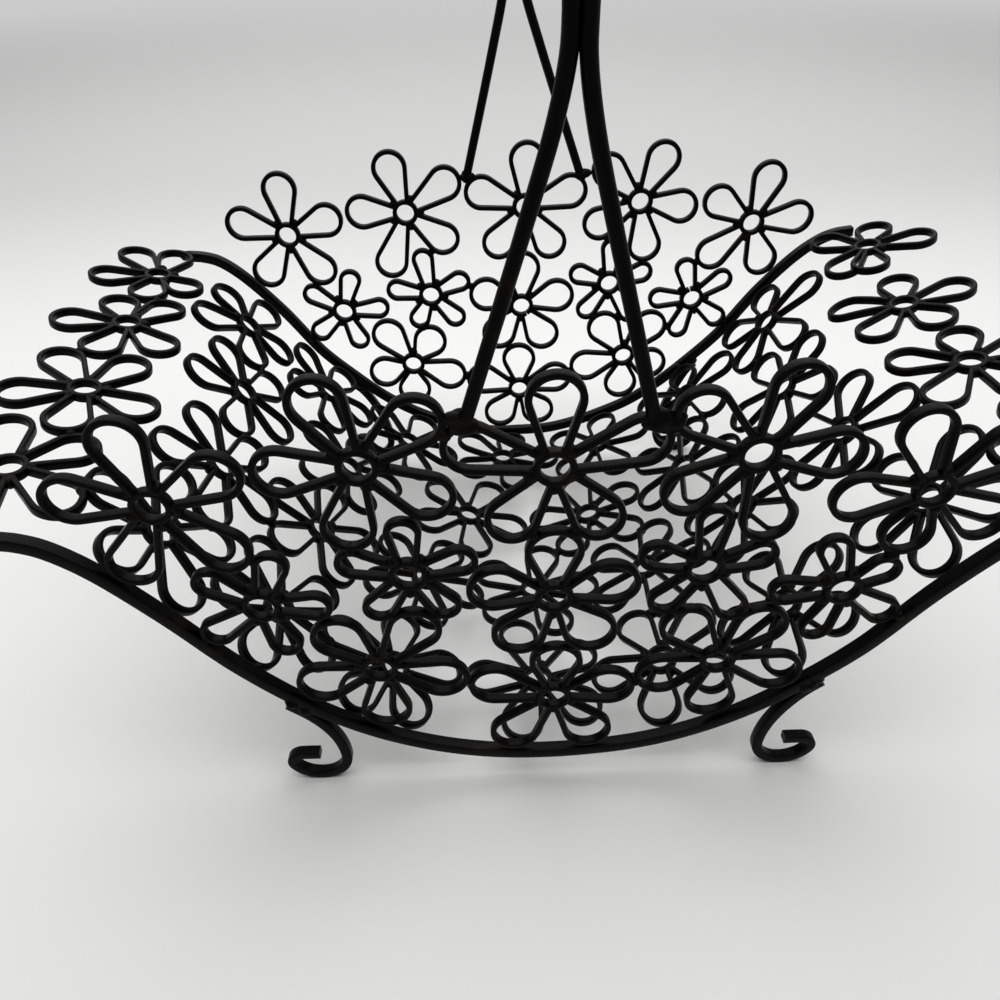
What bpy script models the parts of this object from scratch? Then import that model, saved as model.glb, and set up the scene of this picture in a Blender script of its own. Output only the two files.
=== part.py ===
# A wire basket welded up from flowers of bent strip.
# Two upright walls of flowers stand on two bent square bars, the rails. A trough-shaped floor
# of flowers hangs between the rails, a scroll foot stands under each quarter, and two round
# rods run together over the basket as its handle.
#
# Frame: metres, X along the basket, Y from the front wall to the back wall, Z up. The origin
# is on the ground, midway between the four feet.

import math

import bmesh
import bpy
import numpy as np

# Stock sizes
RAIL_BAR = 0.0058           # square bar of the rails
BAR = 0.0050                # square bar of the feet
ROD = 0.0052                # round rod of the handle
STRIP_FACE = 0.0025         # strip of the flowers, seen from its edge
STRIP_DEPTH = 0.0044        # strip of the flowers, across the sheet
GAP = 0.0003                # clearance between pieces that are welded to each other

# Flowers: the reach of a free petal from the ring's centre, and the radius of its round end
LARGE_REACH, LARGE_BEND = 0.0393, 0.0107
MEDIUM_REACH, MEDIUM_BEND = 0.0384, 0.0116
SMALL_REACH, SMALL_BEND = 0.0300, 0.0074
FLOOR_REACH, FLOOR_BEND = 0.0385, 0.0107
RING = 0.0080               # outer radius of the ring that holds five petals
PITCH = 0.0730              # from ring to ring along the top of a wall
WELD = 0.0018               # radius of the bead between two flowers of one piece

# The body
WALL_SPACING = 0.2780       # between the middles of the two walls, and of the two rails
RAIL_CLEAR = 0.0200         # from the ground to the middle of a rail at its lowest, as planned

# Feet: the neck, the scroll and the curl that ends the bar, on the bar's middle
NECK_PLACES = {"left": 0.0990, "right": 0.1045}     # from the middle of the basket to the neck
SCROLL = 0.0140             # radius of the scroll under the neck
CURL = 0.0058               # radius of the curl
CURL_START = 335            # degrees round the scroll where the curl begins
CURL_RUN = 0.0085           # straight end of the bar, back over the scroll
PAD = 0.0055                # length of bar laid along the underside of the rail
PAD_PLACE = 0.0175          # from the neck out to where the bar leaves the rail
NECK_EASE = 0.0040          # the neck's S-bend: how long it keeps the rail's direction
NECK_RISE = 0.0220          # and how long it stands upright over the scroll
FLAT_HALF_TURN = 8          # degrees of bar each side of the lowest point that lie flat
FOOT_RUNS = 5               # straight runs in each bend of a foot
PAD_STEPS = 8               # runs between two points of the rail, where the pad is laid on it

# Handle
HANDLE_STRAIGHT = 0.1520    # from the top row's rings to the springing of the arch
HANDLE_ARCH = 0.1100        # rise of the arch above its springing
HANDLE_SWAY = {"front": 0.0018, "back": -0.0050}    # along, at the springing over each wall
LEG_BEND_POINTS = 7         # points along the bend of a leg
ARCH_RUNS = 12              # straight runs in half of the arch
END_SHARE = 0.58            # of the rod's radius: a petal may pass this near under a leg's end

# Petals: the room of one flower in its sheet, in shares of the way from flower to flower, and how
# far of it a petal starts, and is drawn out at most to meet a neighbour
ROOM_SHARES = {"large": 0.538, "medium": 0.526, "small": 0.411, "floor": 0.527}
START_SHARE = 0.76
MOST_SHARE = 1.14
GROWTH_STEPS = 76
CORNER_SHARE = 1.07         # a faceted round end stands this far out at its corners
TINY_SHARE = 1e-9           # runs this near to parallel are taken as parallel

# Shares of the strip
FORK_SHARE = 1.75           # of its face: room that a strand takes where it leaves the ring
BEAD_SHARE = 0.86           # of its depth: height of a bead
BEAD_SIDES = 6

# Middle line of the rails and the floor as planned, from the basket's middle to the end, in
# shares of the pitch: along, up
RAIL_SHARES = ((0.00, 0.000), (0.28, 0.015), (0.55, 0.082), (0.82, 0.184), (1.10, 0.315),
               (1.37, 0.480), (1.64, 0.700), (1.92, 0.986), (2.19, 1.384), (2.47, 1.726),
               (2.67, 1.904), (2.82, 1.975), (2.97, 2.000))
LIP_SHARES = ((3.15, 2.012), (3.40, 1.990))     # the floor runs on past the end of the rails
# How far each rail hangs below that plan, from its left end to its right, in shares of the pitch
RAIL_SAG_SHARES = {
    "front": (0.062, 0.062, 0.062, 0.062, 0.070, 0.052, 0.083, 0.102, 0.116, 0.116, 0.098, 0.077,
              0.073, 0.070, 0.096, 0.119, 0.121, 0.110, 0.092, 0.076, 0.068, 0.062, 0.062, 0.062,
              0.062),
    "back": (0.030, 0.020, 0.006, 0.000, -0.010, -0.022, -0.024, -0.005, 0.010, 0.012, 0.004,
             -0.012, -0.028, -0.029, -0.029, -0.030, -0.034, -0.062, -0.090, -0.100, -0.088,
             -0.070, -0.056, -0.052, -0.050),
}
TOP_ROW_SHARE = 2.137       # of the pitch, from the rail's lowest middle to the top row's rings
RAIL_STEPS = 3              # straight runs between two points of the rail

# Wall flowers: name, kind, along and up from the top row's middle in shares of the pitch, and
# the direction of one petal in degrees, seen from the front
WALL_SHARES = {
    "front": (("top_1", "large", -2.06, 0.00, 99), ("top_2", "large", -0.99, 0.21, 112),
              ("top_3", "large", -0.01, 0.17, 91), ("top_4", "large", 1.00, 0.22, 70),
              ("top_5", "large", 1.96, -0.04, 113), ("small_1", "small", -1.65, -0.74, 70),
              ("small_2", "small", -0.80, -0.53, 91), ("middle", "medium", 0.01, -0.74, 92),
              ("small_3", "small", 0.84, -0.55, 88), ("small_4", "small", 1.66, -0.74, 110),
              ("low_1", "medium", -1.04, -1.30, 55), ("low_2", "medium", 0.03, -1.63, 89),
              ("low_3", "medium", 1.03, -1.32, 128)),
    "back": (("top_1", "large", -2.05, 0.00, 91), ("top_2", "large", -1.00, 0.17, 106),
             ("top_3", "large", 0.04, 0.20, 89), ("top_4", "large", 1.04, 0.22, 65),
             ("top_5", "large", 2.05, 0.01, 77), ("small_1", "small", -1.65, -0.73, 74),
             ("small_2", "small", -0.83, -0.59, 98), ("middle", "medium", 0.01, -0.72, 88),
             ("small_3", "small", 0.82, -0.52, 89), ("small_4", "small", 1.61, -0.69, 107),
             ("low_1", "medium", -1.05, -1.30, 52), ("low_2", "medium", -0.01, -1.61, 90),
             ("low_3", "medium", 1.01, -1.27, 125)),
}
# Pieces of a wall: single flowers, and pairs that are welded together before the rest
WALL_PIECES = {
    "outer_left_pair": ("top_1", "small_1"), "top_left_flower": ("top_2",),
    "top_middle_flower": ("top_3",), "top_right_flower": ("top_4",),
    "outer_right_pair": ("top_5", "small_4"), "inner_left_pair": ("low_1", "small_2"),
    "middle_pair": ("middle", "low_2"), "inner_right_pair": ("low_3", "small_3"),
}

# Floor flowers, in four rows from back to front: along the floor's curve in shares of the
# pitch, across in shares of half the wall spacing, and the direction of one petal in degrees
FLOOR_SHARES = (
    ((-3.82, 0.72, 58), (-2.98, 0.65, 3), (-2.06, 0.71, 0), (-1.16, 0.69, 71), (-0.20, 0.74, 71),
     (0.76, 0.73, 2), (1.75, 0.75, 10), (2.73, 0.74, 69), (3.68, 0.75, 60)),
    ((-3.78, 0.25, 45), (-2.79, 0.20, 61), (-1.69, 0.26, 6), (-0.54, 0.24, 63),
     (0.55, 0.22, 27), (1.48, 0.29, 62), (2.55, 0.29, 24), (3.62, 0.26, 3)),
    ((-3.74, -0.25, 58), (-2.73, -0.28, 61), (-1.82, -0.22, 14), (-0.91, -0.25, 63),
     (0.00, -0.23, 4), (0.93, -0.23, 67), (1.82, -0.15, 19), (2.76, -0.19, 54),
     (3.68, -0.22, 6)),
    ((-3.84, -0.71, 42), (-2.92, -0.74, 26), (-1.99, -0.71, 47), (-1.09, -0.75, 15),
     (-0.03, -0.71, 34), (0.88, -0.72, 38), (1.83, -0.71, 28), (2.95, -0.71, 30),
     (3.86, -0.71, 42)),
)
FLOOR_LIFT_SHARES = {"floor_row_1_flower_9": 0.085}     # of the pitch, above the floor as planned

# Foot of a handle leg, in shares of the pitch from the top row's middle: along, up
LEG_FOOT_SHARES = (0.483, 0.473)
LEG_LEAN_SHARE = 0.310      # along for each unit up
LEG_BEND_SHARE = 0.74       # of the straight height, where the leg starts to bend upright

METALLIC = 0.3              # the paint's, over steel
KINDS = {"large": (LARGE_REACH, LARGE_BEND), "medium": (MEDIUM_REACH, MEDIUM_BEND),
         "small": (SMALL_REACH, SMALL_BEND), "floor": (FLOOR_REACH, FLOOR_BEND)}
PETALS = 5
PETAL_TURN = 2 * math.pi / PETALS
ARC_CORNERS = np.radians((-108, -36, 36, 108))
RAIL_Y = WALL_SPACING / 2
TOP_ROW = RAIL_CLEAR + TOP_ROW_SHARE * PITCH


# Curves through points

def smooth(points, steps):
    """Points on a Catmull-Rom curve through the given points, with steps runs between two."""
    points = np.array(points, float)
    ahead = np.vstack((2 * points[0] - points[1], points, 2 * points[-1] - points[-2]))
    line = []
    for start in range(len(points) - 1):
        a, b, c, d = ahead[start:start + 4]
        for t in np.arange(steps) / steps:
            line.append(((2 * b) + (c - a) * t + (2 * a - 5 * b + 4 * c - d) * t ** 2
                         + (3 * b - a - 3 * c + d) * t ** 3) / 2)
    line.append(points[-1])
    return np.array(line)


def arc(centre, radius, start, end, runs):
    """Points on an arc, angles in degrees."""
    angles = np.radians(np.linspace(start, end, runs + 1))
    return [np.array(centre) + radius * np.array((math.cos(a), math.sin(a))) for a in angles]


def offset(line, distance):
    """The line moved to its left by a distance, with mitred corners."""
    runs = np.diff(line, axis=0)
    runs /= np.linalg.norm(runs, axis=1)[:, None]
    left = np.column_stack((-runs[:, 1], runs[:, 0]))
    before = np.vstack((left[:1], left))
    after = np.vstack((left, left[-1:]))
    mitre = before + after
    mitre /= (mitre * before).sum(axis=1)[:, None]
    return line + distance * mitre


def whole(half):
    """A line and its mirror image, joined at the middle of the basket."""
    return np.vstack((half[:0:-1] * (-1, 1), half))


def sagging_line(side, steps):
    """The whole middle line of one rail, from its left end to its right."""
    shares = whole(np.array(RAIL_SHARES))
    shares[:, 1] -= RAIL_SAG_SHARES[side]
    return smooth(shares, steps) * PITCH + np.array((0, RAIL_CLEAR))


RAIL_LINES = {side: sagging_line(side, RAIL_STEPS) for side in RAIL_SAG_SHARES}
FLOOR_LINE = whole(smooth(RAIL_SHARES + LIP_SHARES, RAIL_STEPS) * PITCH + (0, RAIL_CLEAR))
FLOOR_RUN = np.concatenate(((0,), np.cumsum(np.linalg.norm(np.diff(FLOOR_LINE, axis=0), axis=1))))
FLOOR_RUN = FLOOR_RUN - FLOOR_RUN[-1] / 2


def floor_place(along):
    """Place and slope of the floor at a distance along its curve from the middle."""
    place = [np.interp(along, FLOOR_RUN, FLOOR_LINE[:, axis]) for axis in (0, 1)]
    reach = FLOOR_REACH
    ends = [np.array([np.interp(along + side, FLOOR_RUN, FLOOR_LINE[:, axis]) for axis in (0, 1)])
            for side in (-reach, reach)]
    rise = ends[1] - ends[0]
    return place, math.atan2(rise[1], rise[0])


def leg_line():
    """Half of a handle rod's middle line, from its foot to the top of the arch, as x, y and z."""
    lowest = np.array((LEG_FOOT_SHARES[0] * PITCH, TOP_ROW + LEG_FOOT_SHARES[1] * PITCH))
    upright = ROD / 2 + GAP / 2
    springing = np.array((upright, TOP_ROW + HANDLE_STRAIGHT))
    bend_up = LEG_BEND_SHARE * HANDLE_STRAIGHT - LEG_FOOT_SHARES[1] * PITCH
    bend = lowest + bend_up * np.array((-LEG_LEAN_SHARE, 1))
    corner = np.array((upright, bend[1] + (bend[0] - upright) / LEG_LEAN_SHARE))
    points = [lowest, (lowest + bend) / 2]
    for t in np.linspace(0, 1, LEG_BEND_POINTS):
        points.append((1 - t) ** 2 * bend + 2 * t * (1 - t) * corner + t ** 2 * springing)
    line = [(x, RAIL_Y, z) for x, z in points]
    for angle in np.linspace(0, math.pi / 2, ARCH_RUNS + 1)[1:]:
        line.append((upright, RAIL_Y * math.cos(angle), springing[1] + HANDLE_ARCH * math.sin(angle)))
    return np.array(line)


LEG_LINE = leg_line()


def swayed(line):
    """Points of a rod moved along the basket, more the higher they are, as the handle leans."""
    rise = ((line[:, 2] - LEG_LINE[0, 2]) / (TOP_ROW + HANDLE_STRAIGHT - LEG_LINE[0, 2])).clip(0, 1)
    sway = np.interp(line[:, 1], (-RAIL_Y, RAIL_Y), (HANDLE_SWAY["front"], HANDLE_SWAY["back"]))
    return line + np.outer(rise * sway, (1, 0, 0))


# Flowers

class Flower:
    """One flower: a ring and five petals, flat, with its own place in the basket."""

    def __init__(self, name, kind, place, turn, slope, upright):
        self.name = name
        self.free, self.bend = KINDS[kind]
        ways = (PITCH,) if upright else (PITCH, WALL_SPACING / len(FLOOR_SHARES))
        self.least = START_SHARE * ROOM_SHARES[kind] * min(ways)
        self.most = max(MOST_SHARE * ROOM_SHARES[kind] * max(ways), self.free)
        self.place = np.array(place)
        self.turn = math.radians(turn)
        self.slope = slope
        self.upright = upright
        if upright:
            self.axes = np.array(((1, 0, 0), (0, 0, 1), (0, -1, 0)), float)
        else:
            self.axes = np.array(((math.cos(slope), 0, math.sin(slope)), (0, 1, 0),
                                  (-math.sin(slope), 0, math.cos(slope))))
        self.reach = [0.0] * PETALS
        self.rims = [None] * PETALS
        self.held = [False] * PETALS
        for index in range(PETALS):
            self.draw(index, self.least)

    def petal(self, index, reach, inset=0.0):
        """Corners of a petal's round end, seen flat, drawn in by an inset."""
        corner = self.bend * CORNER_SHARE
        centre = reach - corner * math.cos(ARC_CORNERS[2])
        radius = corner - inset / math.cos(ARC_CORNERS[2])
        angle = self.turn + index * PETAL_TURN
        along = centre + radius * np.cos(ARC_CORNERS)
        across = radius * np.sin(ARC_CORNERS)
        return turned(along, across, angle)

    def notch(self, index):
        """The corner on the ring between a petal and the one before it."""
        angle = self.turn + (index - 1 / 2) * PETAL_TURN
        return turned(np.array((RING - STRIP_FACE / 2,)), np.array((0.0,)), angle)

    def petal_foot(self, index):
        """The two corners where a petal's opening ends at the ring."""
        angle = self.turn + index * PETAL_TURN
        along = RING + STRIP_FACE / 2
        across = along * math.tan(PETAL_TURN / 2) - STRIP_FACE * FORK_SHARE
        return turned(np.array((along, along)), np.array((across, -across)), angle)

    def rim(self, index, reach):
        """A petal's outer edges from notch to notch, as the starts and ends of straight runs."""
        flat = np.vstack((self.notch(index), self.petal(index, reach), self.notch(index + 1)))
        middle = self.place + flat @ self.axes[:2]
        across = self.axes[2] * STRIP_DEPTH / 2
        low, high = middle - across, middle + across
        starts = np.vstack((low[:-1], middle[:-1], high[:-1], low[1:-1]))
        ends = np.vstack((low[1:], middle[1:], high[1:], high[1:-1]))
        return starts, ends, middle

    def draw(self, index, reach):
        """Give a petal its reach."""
        self.reach[index] = reach
        self.rims[index] = self.rim(index, reach)


def turned(along, across, angle):
    """Flat points turned by an angle."""
    cos, sin = math.cos(angle), math.sin(angle)
    return np.column_stack((along * cos - across * sin, along * sin + across * cos))


def wall_flowers(side):
    """The thirteen flowers of a wall."""
    y = RAIL_Y if side == "back" else -RAIL_Y
    flowers = []
    for name, kind, along, up, turn in WALL_SHARES[side]:
        place = (along * PITCH, y, TOP_ROW + up * PITCH)
        flowers.append(Flower(name, kind, place, turn, 0.0, True))
    return flowers


def floor_flowers():
    """The flowers of the floor, row by row from the back."""
    flowers = []
    for row, places in enumerate(FLOOR_SHARES, 1):
        for column, (along, across, turn) in enumerate(places, 1):
            (x, z), slope = floor_place(along * PITCH)
            name = f"floor_row_{row}_flower_{column}"
            place = (x, across * RAIL_Y, z + FLOOR_LIFT_SHARES.get(name, 0) * PITCH)
            flowers.append(Flower(name, "floor", place, turn, slope, False))
    return flowers


def least_distance(first, second):
    """Least distance between two sets of straight runs, and the place midway between them."""
    p, q = first[0][:, None], second[0][None]
    u, v = first[1][:, None] - p, second[1][None] - q
    w = p - q
    uu, vv, uv = (u * u).sum(-1), (v * v).sum(-1), (u * v).sum(-1)
    uw, vw = (u * w).sum(-1), (v * w).sum(-1)
    square = uu * vv - uv * uv
    level = square <= uu * vv * TINY_SHARE
    s = np.where(level, 0, (uv * vw - vv * uw) / np.where(level, 1, square)).clip(0, 1)
    t = ((uv * s + vw) / vv).clip(0, 1)
    s = ((uv * t - uw) / uu).clip(0, 1)
    near, far = p + s[..., None] * u, q + t[..., None] * v
    distance = np.linalg.norm(near - far, axis=-1)
    best = np.unravel_index(distance.argmin(), distance.shape)
    return distance[best], (near[best] + far[best]) / 2


def runs_of(line):
    """A line's straight runs, as their starts and ends."""
    return line[:-1], line[1:]


def carriers(flower):
    """Middle lines and half thicknesses of the bars and rods that a wall flower may meet."""
    if not flower.upright:
        return []
    side = math.copysign(1, flower.place[1])
    rail = np.insert(RAIL_LINES["back" if side > 0 else "front"], 1, side * RAIL_Y, axis=1)
    leg = LEG_LINE[:-ARCH_RUNS] * (1, side, 1)
    way = leg[1] - leg[0]
    leg[0] += way / np.linalg.norm(way) * ROD / 2 * END_SHARE
    legs = (swayed(leg), swayed(leg * (-1, 1, 1)))
    return [(runs_of(rail), RAIL_BAR / 2)] + [(runs_of(line), ROD / 2) for line in legs]


def clear(flower, index, reach, neighbours):
    """Whether a petal of this reach keeps the gap to every neighbour, rail and rod."""
    starts, ends, middle = flower.rim(index, reach)
    if not flower.upright and np.abs(starts[:, 1]).max() > RAIL_Y - RAIL_BAR / 2 - GAP:
        return False
    for line, half in carriers(flower):
        if least_distance(runs_of(middle), line)[0] < half + GAP:
            return False
    if not neighbours:
        return True
    others = [other.rims[number] for other, number in neighbours]
    second = np.vstack([rim[0] for rim in others]), np.vstack([rim[1] for rim in others])
    if least_distance((starts, ends), second)[0] < GAP:
        return False
    if flower.upright:
        return True
    seen = np.vstack([rim[2][:-1] for rim in others]), np.vstack([rim[2][1:] for rim in others])
    flat = [[points @ flower.axes[:2].T for points in runs] for runs in (runs_of(middle), seen)]
    return least_distance(*flat)[0] >= GAP


def near_petals(flowers):
    """For each petal, the petals of other flowers that it could meet."""
    spines = {}
    for flower in flowers:
        for index in range(PETALS):
            angle = flower.turn + index * PETAL_TURN
            tip = flower.most - flower.bend
            way = turned(np.array((tip,)), np.array((0.0,)), angle) @ flower.axes[:2]
            spines[flower, index] = (flower.place[None], flower.place + way)
    table = {}
    for (flower, index), spine in spines.items():
        table[flower, index] = [
            key for key, other in spines.items() if key[0] is not flower
            and least_distance(spine, other)[0] < (flower.bend + key[0].bend) * CORNER_SHARE + GAP]
    return table


def draw_out(flowers):
    """Draw every petal out, all together, until it meets a neighbour or is at its free reach."""
    table = near_petals(flowers)
    for grown in np.linspace(0, 1, GROWTH_STEPS + 1):
        for flower in flowers:
            for index in range(PETALS):
                if flower.held[index]:
                    continue
                neighbours = table[flower, index]
                reach = flower.least + grown * (flower.most - flower.least)
                if reach >= flower.free and clear(flower, index, flower.most, neighbours):
                    reach = flower.free
                    flower.held[index] = True
                if clear(flower, index, reach, neighbours):
                    flower.draw(index, reach)
                else:
                    flower.held[index] = True


# Objects

def material(name, colour, roughness):
    """A painted metal."""
    paint = bpy.data.materials.new(name)
    paint.use_nodes = True
    shader = paint.node_tree.nodes["Principled BSDF"]
    shader.inputs["Base Color"].default_value = (*colour, 1)
    shader.inputs["Roughness"].default_value = roughness
    shader.inputs["Metallic"].default_value = METALLIC
    return paint


def collection(name):
    """A new collection of the scene."""
    made = bpy.data.collections.new(name)
    bpy.context.scene.collection.children.link(made)
    return made


def outline_object(name, outlines, thickness, paint, home):
    """A flat outline, with its holes, as a 2D curve of some thickness."""
    curve = bpy.data.curves.new(name, "CURVE")
    curve.dimensions = "2D"
    curve.fill_mode = "BOTH"
    curve.extrude = thickness / 2
    for outline in outlines:
        spline = curve.splines.new("POLY")
        spline.points.add(len(outline) - 1)
        for point, (x, y) in zip(spline.points, outline):
            point.co = (x, y, 0, 1)
        spline.use_cyclic_u = True
    made = bpy.data.objects.new(name, curve)
    curve.materials.append(paint)
    home.objects.link(made)
    return made


def flower_object(name, flower, paint, home):
    """A flower's solid: its outline, five petal openings and the hole of its ring."""
    outer = []
    openings = []
    for index in range(PETALS):
        outer.append(flower.notch(index))
        outer.append(flower.petal(index, flower.reach[index]))
        drawn_in = flower.petal(index, flower.reach[index], STRIP_FACE)
        openings.append(np.vstack((drawn_in, flower.petal_foot(index))))
    around = flower.turn + (np.arange(PETALS) + 1 / 2) * PETAL_TURN
    hole = (RING - STRIP_FACE) * np.column_stack((np.cos(around), np.sin(around)))
    made = outline_object(name, [np.vstack(outer)] + openings + [hole], STRIP_DEPTH, paint, home)
    made.location = flower.place
    made.rotation_euler = (math.pi / 2, 0, 0) if flower.upright else (0, -flower.slope, 0)
    return made


def as_mesh(source, home):
    """The object's solid as a mesh object with the same name and place."""
    bpy.context.view_layer.update()
    name = source.name
    seen = source.evaluated_get(bpy.context.evaluated_depsgraph_get())
    mesh = bpy.data.meshes.new_from_object(seen)
    bm = bmesh.new()
    bm.from_mesh(mesh)
    bmesh.ops.remove_doubles(bm, verts=bm.verts, dist=GAP / 10)
    bmesh.ops.recalc_face_normals(bm, faces=bm.faces)
    bm.to_mesh(mesh)
    bm.free()
    place = source.matrix_world.copy()
    bpy.data.objects.remove(source)
    made = bpy.data.objects.new(name, mesh)
    made.matrix_world = place
    home.objects.link(made)
    return made


def union(base, added):
    """Weld another solid to the base."""
    weld = base.modifiers.new(added.name, "BOOLEAN")
    weld.operation = "UNION"
    weld.object = added
    added.hide_render = True
    added.display_type = "WIRE"


def bead_between(name, first, second, home):
    """A weld bead where two flowers of one piece lie nearest."""
    pairs = [least_distance(one[:2], other[:2]) for one in first.rims for other in second.rims]
    distance, middle = min(pairs, key=lambda found: found[0])
    radius = distance / 2 + WELD
    mesh = bpy.data.meshes.new(name)
    bm = bmesh.new()
    bmesh.ops.create_cone(bm, cap_ends=True, segments=BEAD_SIDES, radius1=radius, radius2=radius,
                          depth=STRIP_DEPTH * BEAD_SHARE)
    bm.to_mesh(mesh)
    bm.free()
    made = bpy.data.objects.new(name, mesh)
    made.location = (middle[0], first.place[1], middle[2])
    made.rotation_euler = (math.pi / 2, 0, 0)
    home.objects.link(made)
    return made


def wall_pieces(side, flowers, paint, home, cutters):
    """The flowers of a wall as pieces: single flowers, and pairs that are welded first."""
    named = {flower.name: flower for flower in flowers}
    for piece_name, members in WALL_PIECES.items():
        made = flower_object(f"{side}_wall_{piece_name}", named[members[0]], paint, home)
        if len(members) == 2:
            made = as_mesh(made, home)
            name = f"{side}_{members[1]}"
            joined = as_mesh(flower_object(name, named[members[1]], paint, cutters), cutters)
            bead = bead_between(name + "_bead", named[members[0]], named[members[1]], cutters)
            union(made, bead)
            union(made, joined)


def rail_object(side, paint, home):
    """One bent square bar under a wall, its ends cut square."""
    line = RAIL_LINES[side]
    outline = np.vstack((offset(line, RAIL_BAR / 2), offset(line, -RAIL_BAR / 2)[::-1]))
    made = outline_object(f"{side}_rail", [outline[::-1]], RAIL_BAR, paint, home)
    made.rotation_euler = (math.pi / 2, 0, 0)
    made.location.y = RAIL_Y if side == "back" else -RAIL_Y
    return made


def foot_line(side, end):
    """Middle line of a foot as on the right, from the end of its pad to the end of its curl."""
    neck_x = NECK_PLACES[end]
    rail = sagging_line(side, PAD_STEPS)
    if end == "left":
        rail = rail[::-1] * (-1, 1)
    under = offset(rail, -(RAIL_BAR + BAR) / 2 - GAP)
    run = np.concatenate(((0,), np.cumsum(np.linalg.norm(np.diff(under, axis=0), axis=1))))
    start = np.interp(neck_x + PAD_PLACE, under[:, 0], run)
    end_run = np.linspace(start + PAD, start, 2)
    pad = np.column_stack([np.interp(end_run, run, under[:, axis]) for axis in (0, 1)])
    middle = np.array((neck_x + SCROLL, BAR / 2 + SCROLL * math.cos(math.radians(FLAT_HALF_TURN))))
    ease = pad[1] + (pad[1] - pad[0]) / PAD * NECK_EASE
    foot = np.array((neck_x, middle[1]))
    neck = [pad[1] * (1 - t) ** 3 + 3 * ease * t * (1 - t) ** 2
            + 3 * (foot + (0, NECK_RISE)) * t ** 2 * (1 - t) + foot * t ** 3
            for t in np.linspace(0, 1, 2 * FOOT_RUNS + 1)[1:-1]]
    first = arc(middle, SCROLL, 180, 270 - FLAT_HALF_TURN, FOOT_RUNS)
    second = arc(middle, SCROLL, 270 + FLAT_HALF_TURN, CURL_START, FOOT_RUNS)
    turn = math.radians(CURL_START)
    curl_middle = middle + (SCROLL - CURL) * np.array((math.cos(turn), math.sin(turn)))
    curl = arc(curl_middle, CURL, CURL_START - 360, 90, FOOT_RUNS)[1:]
    tip = [curl[-1] - (CURL_RUN, 0)]
    return np.array(list(pad) + neck + first + second + curl + tip)


def foot_object(side, end, paint, home):
    """One scroll foot of square bar, under a rail."""
    line = foot_line(side, end)
    outline = np.vstack((offset(line, BAR / 2), offset(line, -BAR / 2)[::-1]))
    if end == "left":
        outline = outline[::-1] * (-1, 1)
    made = outline_object(f"{side}_{end}_foot", [outline], BAR, paint, home)
    made.rotation_euler = (math.pi / 2, 0, 0)
    made.location.y = RAIL_Y if side == "back" else -RAIL_Y
    return made


def handle_rod(end, paint, home):
    """One round rod, up from the front wall, over the basket and down to the back wall."""
    half = LEG_LINE * (1 if end == "right" else -1, 1, 1)
    line = swayed(np.vstack((half * (1, -1, 1), half[-2::-1])))
    curve = bpy.data.curves.new(f"handle_rod_{end}", "CURVE")
    curve.dimensions = "3D"
    curve.bevel_depth = ROD / 2
    curve.bevel_resolution = 1
    curve.use_fill_caps = True
    spline = curve.splines.new("POLY")
    spline.points.add(len(line) - 1)
    for point, place in zip(spline.points, line):
        point.co = (*place, 1)
    spline.use_smooth = True
    curve.materials.append(paint)
    made = bpy.data.objects.new(f"handle_rod_{end}", curve)
    home.objects.link(made)
    return made


def build():
    for old in list(bpy.data.objects):
        bpy.data.objects.remove(old)
    home = collection("wire_basket")
    cutters = collection("cutters")
    strip_paint = material("black_paint_strip", (0.012, 0.012, 0.013), 0.45)
    bar_paint = material("black_paint_bar", (0.014, 0.014, 0.015), 0.40)
    rod_paint = material("black_paint_rod", (0.010, 0.010, 0.011), 0.50)
    for side in ("front", "back"):
        flowers = wall_flowers(side)
        draw_out(flowers)
        wall_pieces(side, flowers, strip_paint, home, cutters)
        rail_object(side, bar_paint, home)
        for end in ("left", "right"):
            foot_object(side, end, bar_paint, home)
    flowers = floor_flowers()
    draw_out(flowers)
    for flower in flowers:
        flower_object(flower.name, flower, strip_paint, home)
    for end in ("left", "right"):
        handle_rod(end, rod_paint, home)


build()
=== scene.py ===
import math

import bmesh
import bpy
import numpy as np
from mathutils import Matrix, Vector


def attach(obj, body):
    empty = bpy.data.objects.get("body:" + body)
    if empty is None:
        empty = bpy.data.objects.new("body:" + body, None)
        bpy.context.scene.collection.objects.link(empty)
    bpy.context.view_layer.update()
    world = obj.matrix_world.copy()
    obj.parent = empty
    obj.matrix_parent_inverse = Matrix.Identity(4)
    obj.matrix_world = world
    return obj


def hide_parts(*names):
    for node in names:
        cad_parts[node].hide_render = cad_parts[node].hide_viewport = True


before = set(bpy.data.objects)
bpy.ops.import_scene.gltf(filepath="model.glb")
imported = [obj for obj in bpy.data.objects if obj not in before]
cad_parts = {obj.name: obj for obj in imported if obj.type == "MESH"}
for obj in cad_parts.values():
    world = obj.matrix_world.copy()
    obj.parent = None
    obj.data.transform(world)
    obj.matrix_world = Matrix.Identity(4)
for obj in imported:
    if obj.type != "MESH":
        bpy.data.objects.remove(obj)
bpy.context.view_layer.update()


# Rails
# Each is one length of 6 mm square bar, bent cold into a wide U whose ends turn level. The
# corners of the bar are slightly round, and its ends are sawn square and painted over.

RAIL_BAR = 0.0058
BAR_EDGE = 0.0007
RAIL_RUNS = 3                   # lengths of face between two points of the bar's line
CORNER_RUNS = 3                 # faces round one corner of a bar or strip
SHARP = math.radians(50)        # edges that turn more than this stay crisp
MERGE = 0.00002                 # points nearer than this are one
SHEET_TOP = 10 * MERGE          # how far below a CAD piece's highest point its top still lies
FACING = 0.9                    # how squarely the top's faces look out of the sheet
STRAIGHT = 0.002                # an outline that turns less than this at a point runs straight on

BLACK = (0.0003, 0.0003, 0.0003)
RUST = (0.013, 0.0065, 0.0032)
SHINE = 0.055
PAINT_IOR = 1.48
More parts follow.
